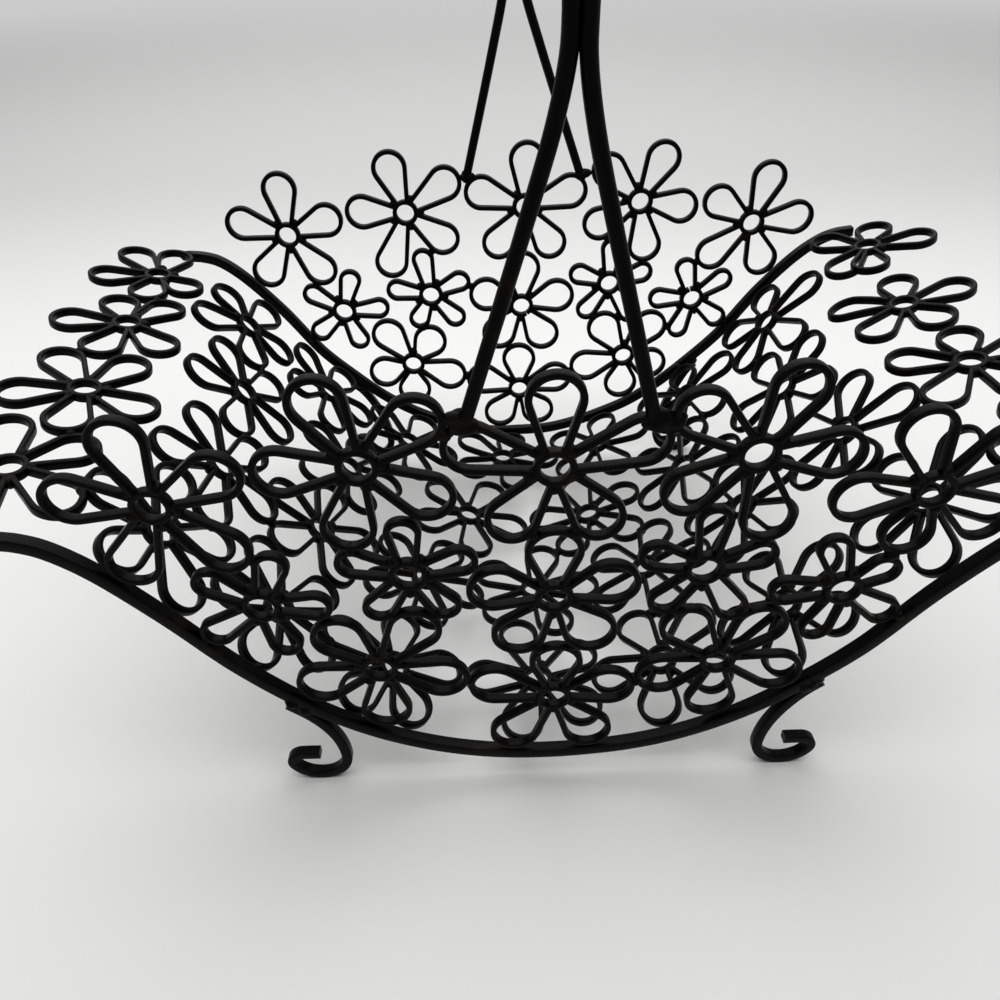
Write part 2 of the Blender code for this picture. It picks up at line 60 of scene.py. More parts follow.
# Scale and detail of the patterns in the paint, and the part of each that shows
RUST_PATCHES, RUST_SHOWS, RUST_MOST = (60, 3), (0.62, 0.80), 0.8
GLOSS_PATCHES, GLOSS_SHOWS, GLOSS_SPREAD = (140, 4), (0.3, 0.7), (-0.06, 0.07)
GRAIN_DETAIL, GRAIN_STRENGTH, GRAIN_HEIGHT = 2, 0.6, 0.0002


def black_paint(name, roughness, grain):
    """Satin black paint on steel: brown tints in places, uneven gloss and a fine orange peel."""
    paint = bpy.data.materials.new(name)
    paint.use_nodes = True
    nodes, links = paint.node_tree.nodes, paint.node_tree.links
    shader = nodes["Principled BSDF"]
    shader.inputs["Metallic"].default_value = 0.0
    shader.inputs["IOR"].default_value = PAINT_IOR
    shader.inputs["Specular IOR Level"].default_value = SHINE
    place = nodes.new("ShaderNodeTexCoord")

    def noise(scale, detail):
        texture = nodes.new("ShaderNodeTexNoise")
        texture.inputs["Scale"].default_value = scale
        texture.inputs["Detail"].default_value = detail
        links.new(place.outputs["Object"], texture.inputs["Vector"])
        return texture.outputs["Fac"]

    def spread(value, shows, low, high):
        reach = nodes.new("ShaderNodeMapRange")
        for socket, number in zip(("From Min", "From Max", "To Min", "To Max"), (*shows, low, high)):
            reach.inputs[socket].default_value = number
        links.new(value, reach.inputs["Value"])
        return reach.outputs["Result"]

    tint = nodes.new("ShaderNodeMix")
    tint.data_type = "RGBA"
    tint.inputs["A"].default_value = (*BLACK, 1)
    tint.inputs["B"].default_value = (*RUST, 1)
    links.new(spread(noise(*RUST_PATCHES), RUST_SHOWS, 0, RUST_MOST), tint.inputs["Factor"])
    links.new(tint.outputs["Result"], shader.inputs["Base Color"])
    smoother, rougher = (roughness + change for change in GLOSS_SPREAD)
    links.new(spread(noise(*GLOSS_PATCHES), GLOSS_SHOWS, smoother, rougher),
              shader.inputs["Roughness"])
    bump = nodes.new("ShaderNodeBump")
    bump.inputs["Strength"].default_value = GRAIN_STRENGTH
    bump.inputs["Distance"].default_value = GRAIN_HEIGHT
    links.new(noise(grain, GRAIN_DETAIL), bump.inputs["Height"])
    links.new(bump.outputs["Normal"], shader.inputs["Normal"])
    return paint


def walks_round(beside):
    """The closed walks through points, each point given with the ones beside it."""
    walks = []
    left = set(beside)
    while left:
        walk = [min(left)]
        while True:
            left.discard(walk[-1])
            step = [point for point in beside[walk[-1]] if point in left]
            if not step:
                break
            walk.append(step[0])
        walks.append(walk)
    return walks


def turning_points(outline):
    """The points of an outline, without those where it runs straight on."""
    runs = np.roll(outline, -1, axis=0) - outline
    back = np.roll(runs, 1, axis=0)
    turn = np.abs(runs[:, 0] * back[:, 1] - runs[:, 1] * back[:, 0])
    lengths = np.linalg.norm(runs, axis=1) * np.linalg.norm(back, axis=1)
    return outline[turn > STRAIGHT * lengths]


def sheet_of(node):
    """The flat sheet that a CAD piece lies in: its axes along, up and out, its middle and the
    outlines of the piece's top, holes among them."""
    mesh = bmesh.new()
    mesh.from_mesh(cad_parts[node].data)
    bmesh.ops.remove_doubles(mesh, verts=mesh.verts, dist=MERGE)
    mesh.normal_update()
    corners = np.array([corner.co for corner in mesh.verts])
    out = np.linalg.svd(corners - corners.mean(axis=0), full_matrices=False)[2][2]
    along = np.array((1.0, 0, 0)) - out[0] * out
    along /= np.linalg.norm(along)
    up = np.cross(out, along)
    if up[1] + up[2] < 0:
        out, up = -out, -up
    depth = corners @ out
    beside = {}
    for edge in mesh.edges:
        near = [face for face in edge.link_faces if np.dot(face.normal, out) > FACING]
        if len(near) == 1 and min(depth[v.index] for v in edge.verts) > depth.max() - SHEET_TOP:
            first, second = (corner.index for corner in edge.verts)
            beside.setdefault(first, []).append(second)
            beside.setdefault(second, []).append(first)
    mesh.free()
    flat = np.column_stack((corners @ along, corners @ up))
    outlines = [turning_points(flat[walk]) for walk in walks_round(beside)]
    return (along, up, out), (depth.max() + depth.min()) / 2, outlines


def middle_line(outline):
    """The middle line of a bent bar, from its outline, which turns back at the bar's two ends."""
    runs = np.roll(outline, -1, axis=0) - outline
    runs /= np.linalg.norm(runs, axis=1)[:, None]
    turned_back = (np.roll(runs, 1, axis=0) * np.roll(runs, -1, axis=0)).sum(axis=1)
    first, second = sorted(np.argsort(turned_back)[:2])
    one = outline[first + 1:second + 1]
    other = np.roll(outline, -second - 1, axis=0)[:len(outline) - len(one)][::-1]
    return (one + other) / 2


def new_tree(name, inputs, made):
    """An empty tree with named inputs and one output."""
    tree = bpy.data.node_groups.new(name, "GeometryNodeTree")
    for label, kind in inputs.items():
        tree.interface.new_socket(label, in_out="INPUT", socket_type=f"NodeSocket{kind}")
    tree.interface.new_socket(made, in_out="OUTPUT", socket_type="NodeSocketGeometry")
    return tree


def bending_tree():
    """A tree that bends a rounded bar or strip along the lines of a flat drawing."""
    tree = new_tree("bent_bar", {"Drawing": "Geometry", "Width": "Float", "Depth": "Float",
                                 "Rounding": "Float", "Runs": "Int", "Corner Runs": "Int",
                                 "Paint": "Material"}, "Piece")
    nodes, links = tree.nodes, tree.links
    given = nodes.new("NodeGroupInput").outputs
    line = nodes.new("GeometryNodeMeshToCurve")
    kind = nodes.new("GeometryNodeCurveSplineType")
    kind.spline_type = "CATMULL_ROM"
    finer = nodes.new("GeometryNodeSetSplineResolution")
    upright = nodes.new("GeometryNodeSetCurveNormal")
    upright.mode = "Z_UP"
    section = nodes.new("GeometryNodeCurvePrimitiveQuadrilateral")
    rounded = nodes.new("GeometryNodeFilletCurve")
    rounded.mode = "POLY"
    sweep = nodes.new("GeometryNodeCurveToMesh")
    sweep.inputs["Fill Caps"].default_value = True
    paint = nodes.new("GeometryNodeSetMaterial")
    whole = nodes.new("GeometryNodeRealizeInstances")
    made = nodes.new("NodeGroupOutput")
    links.new(given["Drawing"], line.inputs["Mesh"])
    links.new(line.outputs["Curve"], kind.inputs["Curve"])
    links.new(kind.outputs["Curve"], finer.inputs["Geometry"])
    links.new(given["Runs"], finer.inputs["Resolution"])
    links.new(finer.outputs["Geometry"], upright.inputs["Curve"])
    links.new(given["Width"], section.inputs["Width"])
    links.new(given["Depth"], section.inputs["Height"])
    links.new(section.outputs["Curve"], rounded.inputs["Curve"])
    links.new(given["Rounding"], rounded.inputs["Radius"])
    links.new(given["Corner Runs"], rounded.inputs["Count"])
    links.new(upright.outputs["Curve"], sweep.inputs["Curve"])
    links.new(rounded.outputs["Curve"], sweep.inputs["Profile Curve"])
    links.new(sweep.outputs["Mesh"], whole.inputs["Geometry"])
    links.new(whole.outputs["Geometry"], paint.inputs["Geometry"])
    links.new(given["Paint"], paint.inputs["Material"])
    links.new(paint.outputs["Geometry"], made.inputs["Piece"])
    return tree


def as_mesh(holder):
    """The plain mesh that an object's curve or modifiers make. The object itself is removed."""
    bpy.context.scene.collection.objects.link(holder)
    bpy.context.view_layer.update()
    seen = holder.evaluated_get(bpy.context.evaluated_depsgraph_get())
    mesh = bpy.data.meshes.new_from_object(seen)
    bpy.data.objects.remove(holder)
    return mesh


def made_by(tree, drawing, values):
    """The plain mesh that a tree makes of a drawing, with values for its named inputs."""
    holder = bpy.data.objects.new(drawing.name, drawing)
    modifier = holder.modifiers.new(tree.name, "NODES")
    modifier.node_group = tree
    for item in tree.interface.items_tree:
        if item.in_out == "INPUT" and item.name in values:
            modifier[item.identifier] = values[item.name]
    return as_mesh(holder)


bending = bending_tree()


def bent(lines, values):
    """The mesh of bars bent along lines in or near the XY plane. A line that ends where it starts
    becomes a closed ring."""
    drawing = bpy.data.meshes.new("drawing")
    points = []
    edges = []
    for line in lines:
        start = len(points)
        closed = np.linalg.norm(line[0] - line[-1]) < MERGE
        points += [(*spot, 0)[:3] for spot in (line[:-1] if closed else line)]
        edges += [(spot, spot + 1) for spot in range(start, len(points) - 1)]
        if closed:
            edges.append((len(points) - 1, start))
    drawing.from_pydata(points, edges, [])
    mesh = made_by(bending, drawing, values)
    bpy.data.meshes.remove(drawing)
    return mesh


def laid(mesh, axes, middle):
    """Lay a flat mesh on a sheet."""
    along, up, out = axes
    turn = Matrix((along, up, out)).transposed().to_4x4()
    mesh.transform(Matrix.Translation(Vector(out) * middle) @ turn)


def finished(name, mesh, nodes):
    """A finished piece: shaded, riding on the basket's one body, in place of its CAD nodes."""
    mesh.name = name
    mesh.shade_smooth()
    mesh.set_sharp_from_angle(angle=SHARP)
    piece = bpy.data.objects.new(name, mesh)
    bpy.context.scene.collection.objects.link(piece)
    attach(piece, "root")
    if nodes:
        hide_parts(*nodes)


bar_paint = black_paint("satin_black_on_bar", roughness=0.30, grain=700)
bars = {}


def square_bar(node, name, thickness, runs):
    """Draw a CAD rail or foot again in bent square bar. Its middle line is kept for the welds."""
    axes, middle, (outline,) = sheet_of(node)
    line = middle_line(outline)
    bars[node] = np.array([x * axes[0] + y * axes[1] + middle * axes[2] for x, y in line])
    mesh = bent([line], {"Width": thickness, "Depth": thickness, "Rounding": BAR_EDGE,
                         "Runs": runs, "Corner Runs": CORNER_RUNS, "Paint": bar_paint})
    laid(mesh, axes, middle)
    finished(name, mesh, [node])


for side in ("front", "back"):
    square_bar(f"{side}_rail", f"{side}_rail_bar", RAIL_BAR, RAIL_RUNS)


# Scroll feet
# A lighter square bar: a short pad of it is welded along the underside of the rail, then it swings
# down in a neck and is rolled cold round a former into a scroll. The basket stands on the scrolls.

FOOT_BAR = 0.0050
FOOT_RUNS = 5
for side in ("front", "back"):
    for end in ("left", "right"):
        square_bar(f"{side}_{end}_foot", f"{side}_{end}_scroll_foot", FOOT_BAR, FOOT_RUNS)


# Handle
# Two lengths of 5 mm round rod, each from the front wall over the basket to the back wall. They
# lean together, run side by side over the top, and part again to their welds on the walls.

ROD = 0.0052
ROD_RUNS = 4                    # faces round half a rod, less two
SMOOTH_STEPS = 4                # points on the rod's line for each one in CAD
CORNER_PLACES = 5               # decimals that the CAD corners are rounded to
NEXT_CORNER = 0.6 * ROD         # corners of one ring in CAD are nearer to the next than this
FRONT_FIRST = 10                # how much more than height depth counts in finding the front end
SEAM = 0.00015                  # how far each rod moves in, to lie against the other
# How far the real rods' ends stand along from those in CAD, at the front and the back wall, and
# the height over which the rods come back to their place
FOOT_SHIFTS = {"left": (0.0028, 0.0020), "right": (-0.0023, 0.0016)}
FOOT_BEND = 0.13
rod_paint = black_paint("satin_black_on_rod", roughness=0.38, grain=900)
rods = {}


def rings_of(node):
    """The middles of the rings of corners along a CAD rod."""
    corners = [corner.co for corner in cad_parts[node].data.vertices]
    corners = np.unique(np.round(corners, CORNER_PLACES), axis=0)
    rings = []
    left = list(range(len(corners)))
    while left:
        ring = [left.pop(0)]
        for member in ring:
            close = [i for i in left if np.linalg.norm(corners[i] - corners[member]) < NEXT_CORNER]
            ring += close
            left = [i for i in left if i not in close]
        rings.append(corners[ring].mean(axis=0))
    return rings


def front_to_back(rings):
    """The rings from the front wall on, each the nearest to the one before it."""
    line = [min(rings, key=lambda ring: ring[2] + FRONT_FIRST * ring[1])]
    while len(line) < len(rings):
        rest = [ring for ring in rings if not any(ring is used for used in line)]
        line.append(min(rest, key=lambda ring: np.linalg.norm(ring - line[-1])))
    return np.array(line)


def rounder(line):
    """A line bent smoothly through its points."""
    ways = np.diff(line, axis=0)
    runs = np.linalg.norm(ways, axis=1)[:, None]
    ways /= runs
    heading = (ways[:-1] * runs[1:] + ways[1:] * runs[:-1]) / (runs[:-1] + runs[1:])
    heading = np.vstack((ways[:1], heading, ways[-1:]))
    bends = []
    for t in np.arange(SMOOTH_STEPS) / SMOOTH_STEPS:
        bends.append((1 + 2 * t) * (1 - t) ** 2 * line[:-1] + t ** 2 * (3 - 2 * t) * line[1:]
                     + runs * (t * (1 - t) ** 2 * heading[:-1] - t ** 2 * (1 - t) * heading[1:]))
    return np.vstack((np.stack(bends, axis=1).reshape(-1, 3), line[-1:]))


for end in ("left", "right"):
    node = f"handle_rod_{end}"
    line = front_to_back(rings_of(node))
    line[:, 0] += SEAM if end == "left" else -SEAM
    over = (1 - (line[:, 2] - line[0, 2]) / FOOT_BEND).clip(0, 1)
    line[:, 0] += over * np.where(line[:, 1] < 0, *FOOT_SHIFTS[end])
    rods[end] = rounder(line)
    curve = bpy.data.curves.new(node, "CURVE")
    curve.dimensions = "3D"
    curve.bevel_depth = ROD / 2
    curve.bevel_resolution = ROD_RUNS
    curve.use_fill_caps = True
    spline = curve.splines.new("POLY")
    spline.points.add(len(rods[end]) - 1)
    for point, place in zip(spline.points, rods[end]):
        point.co = (*place, 1)
    mesh = as_mesh(bpy.data.objects.new(node + "_line", curve))
    mesh.materials.clear()
    mesh.materials.append(rod_paint)
    finished(f"round_rod_{end}", mesh, [node])


# Flowers
# Each is a short ring of strip on edge, with five loops of the same strip welded round it as
# petals. The strip is 2.5 mm thick and 4.4 mm deep, and every loop is bent by hand, none alike.

STRIP_FACE = 0.0025
STRIP_DEPTH = 0.0044
STRIP_EDGE = 0.0009
STRIP_RUNS = 2
COAT = 0.0001                   # the paint's thickness on each side of the strip
RING = 0.0080
RING_GAP = 0.06                 # half the gap in an open ring, in radians
OPEN_RINGS = 0.10               # the share of rings that are open
WEB_PLACE = 0.0091              # how far from a ring's middle the welds between petals sit
PETAL_FOOT = (0.86, 0.45)       # a petal's foot along and across, in radii of the ring
FULL_TURN = 2 * math.pi
BETWEEN_PETALS = FULL_TURN / 10     # from a petal's direction to the gap beside it
# How far a petal's end usually sways aside and lifts, and how many times that at most
SWAY = 0.0005
LIFT = 0.0007
HAND_MOST = 1.6
# Petals at the floor's ends that are bent away from their place: flower, direction of the petal,
# degrees that it is turned aside, and how far its end is lifted. A petal is the one meant where
# the cosine between its own direction and the one given is above SAME_WAY.
SAME_WAY = 0.95
ASIDE = {"floor_row_1_flower_1": ((58, 26, 0.0), (-14, -16, 0.0), (-86, -2, 0.0)),
         "floor_row_2_flower_1": ((45, 18, -0.0013), (-27, -12, -0.0009)),
         "floor_row_3_flower_1": ((58, 7, 0.0), (-14, -3, 0.0)),
         "floor_row_1_flower_9": ((204, 13, -0.0027), (276, -23, 0.0)),
         "floor_row_2_flower_8": ((147, -5, -0.0059),)}
# The floor: how far along a flower looks for the rail, where across it starts to bend, and how
# much of the way to the rail it bends
FLOWER_SPAN = 0.060
BEND_FROM = {"front": 0.095, "back": 0.030}
BEND_SHARE = 0.9
# In CAD a ring's opening has five sides and a petal's six, and the widest corner of a petal's
# round end stands at this angle from its tip
RING_SIDES = 5
PETAL_SIDES = 6
WIDEST = math.radians(108)
# Points on the lines here: a petal's straight side, its round end, and a whole ring
SIDE_POINTS = 7
END_POINTS = 17
RING_POINTS = 21
strip_paint = black_paint("satin_black_on_strip", roughness=0.33, grain=1100)
hand = np.random.default_rng(11)


def flowers_of(outlines):
    """Ring centres and, for each, its petals as axis, reach and half width, from the openings."""
    rings = [outline.mean(axis=0) for outline in outlines if len(outline) == RING_SIDES]
    flowers = [[ring, []] for ring in rings]
    for outline in outlines:
        if len(outline) != PETAL_SIDES:
            continue
        near = [min(np.linalg.norm(outline - ring, axis=1)) for ring in rings]
        ring, petals = flowers[int(np.argmin(near))]
        way = outline - ring
        order = np.argsort(np.linalg.norm(way, axis=1))
        axis = way[order[:2]].mean(axis=0)
        axis /= np.linalg.norm(axis)
        reach = (way @ axis).max() + STRIP_FACE
        across = np.abs(way @ (-axis[1], axis[0])).max() / math.sin(WIDEST)
        petals.append((axis, reach, across + STRIP_FACE))
    return flowers


def petal_line(axis, reach, bend, sway, lift):
    """A petal's middle line: out from the ring, round its end and back to the ring. Its end sways
    to one side and lifts out of the flower's plane by a little."""
    radius = bend - STRIP_FACE / 2
    centre = reach - bend
    foot = RING * np.array(PETAL_FOOT)
    away = foot - (centre, 0)
    distance = np.linalg.norm(away)
    angle = math.atan2(away[1], away[0]) - math.acos(radius / distance)
    end = (centre + radius * math.cos(angle), radius * math.sin(angle))
    flank = [foot + (end - foot) * share for share in np.linspace(0, 1, SIDE_POINTS)[:-1]]
    turns = np.linspace(angle, -angle, END_POINTS)
    loop = [(centre + radius * math.cos(turn), radius * math.sin(turn)) for turn in turns]
    back = [(x, -y) for x, y in flank[::-1]]
    points = np.array(flank + loop + back)
    out = (points[:, 0] / reach) ** 2
    points[:, 1] += sway * out
    flat = points[:, :1] * axis + points[:, 1:] * (-axis[1], axis[0])
    return np.column_stack((flat, lift * out))


def ring_line(ring, petals):
    """A ring's middle line. Some rings are left open by a saw's width where the strip's ends meet."""
    middle_radius = RING - STRIP_FACE / 2
    gap = RING_GAP if hand.random() < OPEN_RINGS else 0
    axis = petals[int(hand.integers(len(petals)))][0]
    angles = math.atan2(axis[1], axis[0]) + np.linspace(gap, FULL_TURN - gap, RING_POINTS)
    flat = ring + middle_radius * np.column_stack((np.cos(angles), np.sin(angles)))
    return np.column_stack((flat, np.zeros(len(flat))))


def spun(axis, angle):
    """A direction in the sheet turned by an angle."""
    cos, sin = math.cos(angle), math.sin(angle)
    return np.array((axis[0] * cos - axis[1] * sin, axis[0] * sin + axis[1] * cos))


def bent_aside(node, axis):
    """How far a petal is turned aside, in radians, and how far it is lifted."""
    for direction, turned, lifted in ASIDE.get(node, ()):
        if np.dot(axis, spun((1, 0), math.radians(direction))) > SAME_WAY:
            return math.radians(turned), lifted
    return 0.0, 0.0


def toward_rails(line, axes, middle, centre):
    """How far each point of a floor flower is bent out of its sheet, so that the floor meets the
    rails where these hang lower or higher than the floor's even curve."""
    along, up, out = axes
    lift = np.zeros(len(line))
    for side, way in (("front", -1), ("back", 1)):
        rail = bars[f"{side}_rail"]
        rail = rail[np.argsort(rail @ along)]
        rail = rail[np.abs(rail @ along - centre) < FLOWER_SPAN]
        if len(rail) < 2:
            continue
        gap = np.interp(line[:, 0], rail @ along, rail @ out - middle)
        start = BEND_FROM[side]
        near = ((way * line[:, 1] * up[1] - start) / (np.abs(rail[0, 1]) - start)).clip(0, 1)
        lift += near ** 2 * (3 - 2 * near) * gap * BEND_SHARE
    return lift


flowers = []
for node in sorted(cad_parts):
    if "flower" not in node and "pair" not in node:
        continue
    axes, middle, outlines = sheet_of(node)
    axes = np.array(axes)
    lines = []
    for ring, petals in flowers_of(outlines):
        drawn = [ring_line(ring, petals)]
        for axis, reach, bend in petals:
            sway, lift = np.clip(hand.normal(0, 1, 2), -HAND_MOST, HAND_MOST) * (SWAY, LIFT)
            aside, lifted = bent_aside(node, axis)
            line = petal_line(spun(axis, aside), reach, bend, sway, lift + lifted)
            drawn.append(line + (*ring, 0))
        webs = np.array([(*(ring + WEB_PLACE * spun(axis, BETWEEN_PETALS)), 0)
                         for axis, _, _ in petals])
        if node.startswith("floor") and node not in ASIDE:
            for line in (*drawn, webs):
                line[:, 2] += toward_rails(line, axes, middle, ring[0])
        lines += drawn
        flowers.append({"petals": [line @ axes + middle * axes[2] for line in drawn[1:]],
                        "webs": webs @ axes + middle * axes[2]})
    mesh = bent(lines, {"Width": STRIP_FACE + 2 * COAT, "Depth": STRIP_DEPTH + 2 * COAT,
                        "Rounding": STRIP_EDGE, "Runs": STRIP_RUNS, "Corner Runs": CORNER_RUNS,
                        "Paint": strip_paint})
    laid(mesh, axes, middle)
    finished(node + "_strips", mesh, [node])


# Welds
# Small beads of weld hold each petal to its ring, and each flower to its neighbours and to the
# rails. Runs of beads fix the feet, and large lumps fix the rods' ends. All are painted over.

BEAD = 0.0029
WEB = 0.0028
BAR_BEAD = 0.0036
# How near the middle lines of two strips, of a strip and a bar, and of a rail and a foot's pad
# come to each other where they are welded
TOUCH = {"strip": 0.0041, "bar": 0.0056, "pad": 0.0061}
LINE_STEP = 0.0008
BAR_STEP = 2                    # steps between the spots where a petal is tried against a bar
PAD_STEP = 3                    # steps between the beads along a pad
weld_paint = black_paint("satin_black_on_weld", roughness=0.40, grain=800)


def closer(line):
    """A line with its points no further apart than a step."""
    runs = np.concatenate(([0], np.cumsum(np.linalg.norm(np.diff(line, axis=0), axis=1))))
    spots = np.linspace(0, runs[-1], int(runs[-1] / LINE_STEP) + 2)
    return np.column_stack([np.interp(spots, runs, line[:, axis]) for axis in range(3)])


def contact(one, other):
    """How near two lines come to each other, and the spot half way between them there."""
    gaps = np.linalg.norm(one[:, None] - other[None], axis=2)
    first, second = np.unravel_index(gaps.argmin(), gaps.shape)
    return gaps[first, second], (one[first] + other[second]) / 2


beads = [(web, WEB) for flower in flowers for web in flower["webs"]]
petals = [(flower, closer(line)) for flower, made in enumerate(flowers) for line in made["petals"]]
reach_of = [(line.mean(axis=0), np.linalg.norm(line - line.mean(axis=0), axis=1).max())
            for _, line in petals]
for first, (flower, line) in enumerate(petals):
    for second in range(first + 1, len(petals)):
        if petals[second][0] == flower:
            continue
        far = np.linalg.norm(reach_of[first][0] - reach_of[second][0])
        if far > reach_of[first][1] + reach_of[second][1] + TOUCH["strip"]:
            continue
        gap, spot = contact(line, petals[second][1])
        if gap < TOUCH["strip"]:
            beads.append((spot, BEAD))
bar_lines = {name: closer(line) for name, line in bars.items()}
for _, line in petals:
    for bar in bar_lines.values():
        gap, spot = contact(line[::BAR_STEP], bar[::BAR_STEP])
        if gap < TOUCH["bar"]:
            beads.append((spot, BAR_BEAD))
for side in ("front", "back"):
    rail = bar_lines[f"{side}_rail"]
    for end in ("left", "right"):
        for spot in bar_lines[f"{side}_{end}_foot"][::PAD_STEP]:
            near = np.linalg.norm(rail - spot, axis=1)
            if near.min() < TOUCH["pad"]:
                beads.append(((spot + rail[near.argmin()]) / 2, BAR_BEAD))

# A bead: the ball that it starts as, the scale and the strength of its lumps, how much it may be
# squeezed or stretched each way, and the seed of its turns
BALL_FACES = {"Segments": 8, "Rings": 6, "Radius": 1}
LUMP_SCALE = 1.1
LUMP_STRENGTH = 0.5
NOISE_MEAN = (0.5, 0.5, 0.5)
SQUEEZE = {"Min": 0.8, "Max": 1.25}
BEAD_SEED = 4


def weld_tree():
    """A tree that sets a rough bead on every point, each turned and squeezed in its own way."""
    tree = new_tree("weld_beads", {"Places": "Geometry", "Roughness": "Float", "Seed": "Int",
                                   "Paint": "Material"}, "Beads")
    nodes, links = tree.nodes, tree.links
    given = nodes.new("NodeGroupInput").outputs
    ball = nodes.new("GeometryNodeMeshUVSphere")
    for socket, number in BALL_FACES.items():
        ball.inputs[socket].default_value = number
    uneven = nodes.new("ShaderNodeTexNoise")
    uneven.inputs["Scale"].default_value = LUMP_SCALE
    centred = nodes.new("ShaderNodeVectorMath")
    centred.operation = "SUBTRACT"
    centred.inputs[1].default_value = NOISE_MEAN
    pushed = nodes.new("ShaderNodeVectorMath")
    pushed.operation = "SCALE"
    rough = nodes.new("GeometryNodeSetPosition")
    turned = nodes.new("FunctionNodeRandomValue")
    turned.data_type = "FLOAT_VECTOR"
    turned.inputs["Max"].default_value = (FULL_TURN,) * 3
    squeezed = nodes.new("FunctionNodeRandomValue")
    squeezed.data_type = "FLOAT_VECTOR"
    for socket, number in SQUEEZE.items():
        squeezed.inputs[socket].default_value = (number,) * 3
    size = nodes.new("GeometryNodeInputNamedAttribute")
    size.data_type = "FLOAT"
    size.inputs["Name"].default_value = "bead_size"
    sized = nodes.new("ShaderNodeVectorMath")
    sized.operation = "SCALE"
    placed = nodes.new("GeometryNodeInstanceOnPoints")
    whole = nodes.new("GeometryNodeRealizeInstances")
    paint = nodes.new("GeometryNodeSetMaterial")
    made = nodes.new("NodeGroupOutput")
    links.new(ball.outputs["Mesh"], rough.inputs["Geometry"])
    links.new(uneven.outputs["Color"], centred.inputs[0])
    links.new(centred.outputs["Vector"], pushed.inputs[0])
    links.new(given["Roughness"], pushed.inputs["Scale"])
    links.new(pushed.outputs["Vector"], rough.inputs["Offset"])
    links.new(given["Places"], placed.inputs["Points"])
    links.new(rough.outputs["Geometry"], placed.inputs["Instance"])
    links.new(given["Seed"], turned.inputs["Seed"])
    links.new(turned.outputs["Value"], placed.inputs["Rotation"])
    links.new(given["Seed"], squeezed.inputs["Seed"])
    links.new(squeezed.outputs["Value"], sized.inputs[0])
    links.new(size.outputs["Attribute"], sized.inputs["Scale"])
    links.new(sized.outputs["Vector"], placed.inputs["Scale"])
    links.new(placed.outputs["Instances"], whole.inputs["Geometry"])
    links.new(whole.outputs["Geometry"], paint.inputs["Geometry"])
    links.new(given["Paint"], paint.inputs["Material"])
    links.new(paint.outputs["Geometry"], made.inputs["Beads"])
    return tree


dots = bpy.data.meshes.new("weld_places")
dots.from_pydata([spot for spot, _ in beads], [], [])
sizes = dots.attributes.new("bead_size", "FLOAT", "POINT")
sizes.data.foreach_set("value", np.array([size for _, size in beads], dtype=np.float32))
mesh = made_by(weld_tree(), dots,
               {"Roughness": LUMP_STRENGTH, "Seed": BEAD_SEED, "Paint": weld_paint})
finished("weld_beads", mesh, [])

# A lump: rod, which end of it, shift from the rod's end along, out and up, and half sizes
LUMPS = (("left", 0, (-0.0020, 0.0, -0.0016), (0.0074, 0.0040, 0.0052)),
         ("right", 0, (0.0044, 0.0, -0.0024), (0.0084, 0.0040, 0.0062)),
         ("left", -1, (-0.0005, 0.0, -0.0012), (0.0062, 0.0032, 0.0040)),
         ("right", -1, (0.0022, 0.0, -0.0012), (0.0064, 0.0032, 0.0040)))
# The balls that a lump is heaped up from, which then run together: their number, how far out
# they sit and their radius as shares of the lump's half size, and their fineness
BALLS = 14
BALL_PLACES = (0.3, 0.62)
BALL_RADIUS = 0.5
BALL_FINENESS = 3
LUMP_VOXEL = 0.0005
SOFTENING, SOFTENING_ROUNDS = 0.5, 4

lumps = bmesh.new()
for end, place, shift, half in LUMPS:
    centre = rods[end][place] + shift
    for _ in range(BALLS):
        spot = hand.normal(0, 1, 3)
        spot *= hand.uniform(*BALL_PLACES) / np.linalg.norm(spot)
        where = Matrix.Translation(centre + spot * half) @ Matrix.Diagonal((*half, 1))
        bmesh.ops.create_icosphere(lumps, subdivisions=BALL_FINENESS, radius=BALL_RADIUS,
                                   matrix=where)
heap = bpy.data.meshes.new("rod_welds")
lumps.to_mesh(heap)
lumps.free()
holder = bpy.data.objects.new("rod_welds", heap)
together = holder.modifiers.new("run_together", "REMESH")
together.mode = "VOXEL"
together.voxel_size = LUMP_VOXEL
softened = holder.modifiers.new("softened", "SMOOTH")
softened.factor = SOFTENING
softened.iterations = SOFTENING_ROUNDS
mesh = as_mesh(holder)
mesh.materials.clear()
mesh.materials.append(weld_paint)
finished("rod_welds", mesh, [])


# Floor, light and camera
# A pale seamless sheet under and behind the basket, greyer towards the back where shade is painted
# into its colour, with two large soft
# lights: one above the basket, one far behind it. The camera has the photograph's viewpoint.

NEAR_GREY = (0.80, 0.80, 0.79)
# The far grey is painted shade: the sheet's colour darkens towards the back in place of the light
# falling off there
FAR_PAINTED_SHADE = (0.56, 0.56, 0.555)
PAINTED_SHADE_SPAN = (0.20, 0.90)        # how far back the near grey ends, and the far grey starts
FADE = (1.7, 3.4)               # how far out the sheet starts to fade, and is all faded
SHEET_HALF = 9                  # half the sheet's width and depth
SHEET_ROUGHNESS = 0.7
WORLD_LIGHT = 0.15
BACKDROP = 0.60                 # the world and the faded sheet as the camera sees them


def seen_directly(nodes, links):
    """A share that is 1 where the camera, a gloss or a clear thing sees, and 0 for lighting."""
    ray = nodes.new("ShaderNodeLightPath")
    share = ray.outputs["Is Camera Ray"]
    for kind in ("Is Glossy Ray", "Is Transmission Ray"):
        either = nodes.new("ShaderNodeMath")
        either.operation = "MAXIMUM"
        links.new(share, either.inputs[0])
        links.new(ray.outputs[kind], either.inputs[1])
        share = either.outputs["Value"]
    return share


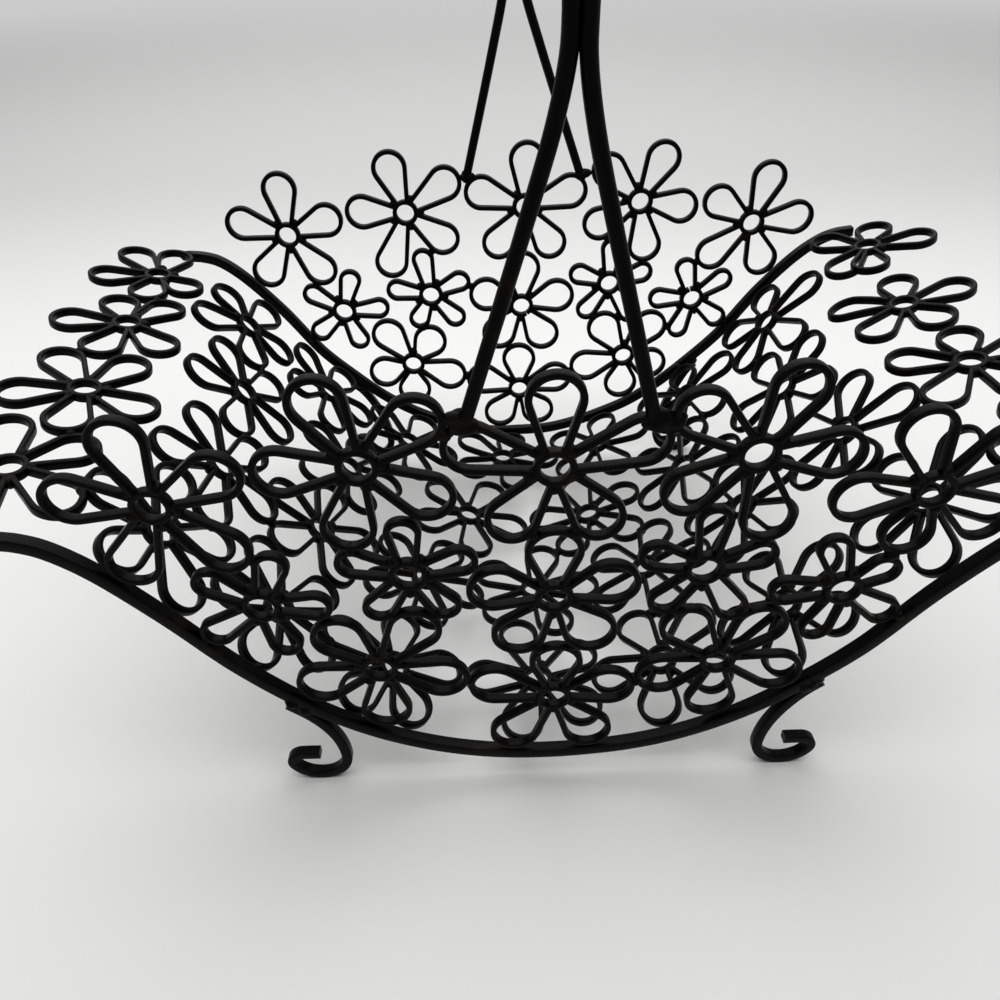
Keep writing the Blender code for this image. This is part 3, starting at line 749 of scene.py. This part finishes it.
floor = bpy.data.meshes.new("pale_sheet")
corners = [(x * SHEET_HALF, y * SHEET_HALF, 0) for x, y in ((-1, -1), (1, -1), (1, 1), (-1, 1))]
floor.from_pydata(corners, [], [(0, 1, 2, 3)])
sheet = bpy.data.objects.new("pale_sheet", floor)
bpy.context.scene.collection.objects.link(sheet)
pale = bpy.data.materials.new("pale_sheet")
pale.use_nodes = True
nodes, links = pale.node_tree.nodes, pale.node_tree.links
shader = nodes["Principled BSDF"]
shader.inputs["Roughness"].default_value = SHEET_ROUGHNESS
place = nodes.new("ShaderNodeTexCoord")
apart = nodes.new("ShaderNodeSeparateXYZ")
away = nodes.new("ShaderNodeVectorMath")
away.operation = "LENGTH"
turning, fading = nodes.new("ShaderNodeMapRange"), nodes.new("ShaderNodeMapRange")
for share, (start, end) in ((turning, PAINTED_SHADE_SPAN), (fading, FADE)):
    share.interpolation_type = "SMOOTHSTEP"
    share.inputs["From Min"].default_value, share.inputs["From Max"].default_value = start, end
# Painted shade: the sheet's colour turns from the near grey to the darker far grey towards the back
grey = nodes.new("ShaderNodeMix")
grey.data_type = "RGBA"
grey.inputs["A"].default_value = (*NEAR_GREY, 1)
grey.inputs["B"].default_value = (*FAR_PAINTED_SHADE, 1)
links.new(place.outputs["Object"], apart.inputs["Vector"])
links.new(apart.outputs["Y"], turning.inputs["Value"])
links.new(turning.outputs["Result"], grey.inputs["Factor"])
links.new(grey.outputs["Result"], shader.inputs["Base Color"])
backdrop = nodes.new("ShaderNodeEmission")
backdrop.inputs["Strength"].default_value = BACKDROP
faded = nodes.new("ShaderNodeMath")
faded.operation = "MULTIPLY"
blend = nodes.new("ShaderNodeMixShader")
links.new(place.outputs["Object"], away.inputs[0])
links.new(away.outputs["Value"], fading.inputs["Value"])
links.new(fading.outputs["Result"], faded.inputs[0])
links.new(seen_directly(nodes, links), faded.inputs[1])
links.new(faded.outputs["Value"], blend.inputs["Fac"])
links.new(shader.outputs["BSDF"], blend.inputs[1])
links.new(backdrop.outputs["Emission"], blend.inputs[2])
links.new(blend.outputs["Shader"], nodes["Material Output"].inputs["Surface"])
floor.materials.append(pale)

world = bpy.data.worlds.new("studio")
bpy.context.scene.world = world
world.use_nodes = True
nodes, links = world.node_tree.nodes, world.node_tree.links
strength = nodes.new("ShaderNodeMapRange")
strength.inputs["To Min"].default_value = WORLD_LIGHT
strength.inputs["To Max"].default_value = BACKDROP
links.new(seen_directly(nodes, links), strength.inputs["Value"])
links.new(strength.outputs["Result"], nodes["Background"].inputs["Strength"])
nodes["Background"].inputs["Color"].default_value = (1, 1, 1, 1)

# Name, place, length, width and power of each light
LIGHTS = (("light_above", (0, 0.30, 1.6), 2.8, 2.2, 42),
          ("light_behind", (0, 3.2, 2.0), 3.6, 1.8, 42))
for name, spot, length, width, power in LIGHTS:
    lamp = bpy.data.lights.new(name, "AREA")
    lamp.shape = "RECTANGLE"
    lamp.size, lamp.size_y = length, width
    lamp.energy = power
    light = bpy.data.objects.new(name, lamp)
    light.location = spot
    bpy.context.scene.collection.objects.link(light)

CAMERA_PLACE = (-0.0249, -0.3737, 0.3601)
CAMERA_YAW, CAMERA_PITCH, CAMERA_ROLL = (math.radians(angle) for angle in (-0.94, -38.41, -1.10))
SENSOR_WIDTH, LENS = 36, 28.8   # both in millimetres
CLIP_START = 0.01
camera = bpy.data.cameras.new("camera")
camera.sensor_width = SENSOR_WIDTH
camera.lens = LENS
camera.clip_start = CLIP_START
eye = bpy.data.objects.new("camera", camera)
turn = (Matrix.Rotation(CAMERA_YAW, 4, "Z") @ Matrix.Rotation(math.pi / 2 + CAMERA_PITCH, 4, "X")
        @ Matrix.Rotation(CAMERA_ROLL, 4, "Z"))
eye.matrix_world = Matrix.Translation(CAMERA_PLACE) @ turn
bpy.context.scene.collection.objects.link(eye)
bpy.context.scene.camera = eye
bpy.context.scene.view_settings.view_transform = "Standard"
